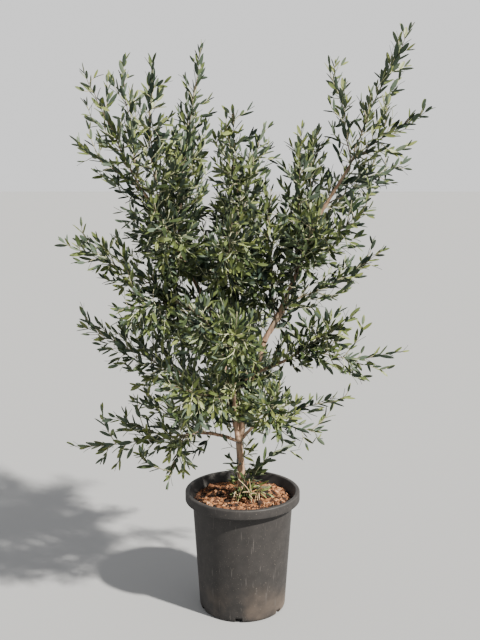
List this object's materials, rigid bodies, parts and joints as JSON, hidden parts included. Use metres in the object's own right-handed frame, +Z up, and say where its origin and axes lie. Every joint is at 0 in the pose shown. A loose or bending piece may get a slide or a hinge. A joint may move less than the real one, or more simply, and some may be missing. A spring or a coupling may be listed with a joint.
{
  "type": "olive tree in a round nursery pot",
  "caption": "Young open-crowned olive tree with narrow grey-green leaves, growing from a tapered charcoal nursery pot with a rolled rim and bark chips on the soil.",
  "frame": {"origin": "middle of the pot's flat underside", "axes": "+Z up along the pot's axis, -Y the front, +X to the right seen from the front"},
  "size_m": [1.1972, 0.9593, 2.005],
  "materials": {
    "pot": "matte moulded plastic, dusty and finely scratched",
    "soil": "rough bark chips and crumbs",
    "bark": "fine dull bark",
    "foliage": "leathery olive-green leaves, pale beneath"
  },
  "bodies": {
    "root": {"bough_back": "bark", "bough_front": "bark", "bough_left_base": "bark", "bough_left_low": "bark", "bough_left_mid": "bark", "bough_right_base": "bark", "bough_right_low": "bark", "bough_right_mid": "bark", "foliage_back_left": "foliage", "foliage_back_left_low": "foliage", "foliage_back_low": "foliage", "foliage_back_middle": "foliage", "foliage_back_right_low": "foliage", "foliage_centre_back": "foliage", "foliage_centre_front": "foliage", "foliage_centre_front_spire": "foliage", "foliage_centre_spire": "foliage", "foliage_front_left": "foliage", "foliage_front_left_low": "foliage", "foliage_front_middle": "foliage", "foliage_left_heart": "foliage", "foliage_left_plume_back": "foliage", "foliage_left_plume_inner": "foliage", "foliage_left_plume_low": "foliage", "foliage_left_plume_outer": "foliage", "foliage_left_plume_tall": "foliage", "foliage_left_shoulder": "foliage", "foliage_left_spire": "foliage", "foliage_left_spray_back": "foliage", "foliage_left_spray_front": "foliage", "foliage_left_spray_hanging": "foliage", "foliage_left_spray_low": "foliage", "foliage_left_spray_low_front": "foliage", "foliage_left_spray_mid": "foliage", "foliage_left_spray_upper": "foliage", "foliage_right_front_low": "foliage", "foliage_right_heart": "foliage", "foliage_right_plume_inner": "foliage", "foliage_right_plume_low": "foliage", "foliage_right_plume_outer": "foliage", "foliage_right_plume_top": "foliage", "foliage_right_shoulder": "foliage", "foliage_right_spray_base": "foliage", "foliage_right_spray_long": "foliage", "foliage_right_spray_low": "foliage", "foliage_right_spray_mid": "foliage", "foliage_right_spray_upper": "foliage", "foliage_right_tuft_back": "foliage", "foliage_right_tuft_front": "foliage", "foliage_right_upper_back": "foliage", "foliage_right_upper_front": "foliage", "leader_centre": "bark", "leader_left": "bark", "leader_left_upper": "bark", "leader_right": "bark", "leader_right_top": "bark", "leader_right_upper": "bark", "pot": "pot", "soil": "soil", "trunk": "bark"}
  },
  "joints": []
}
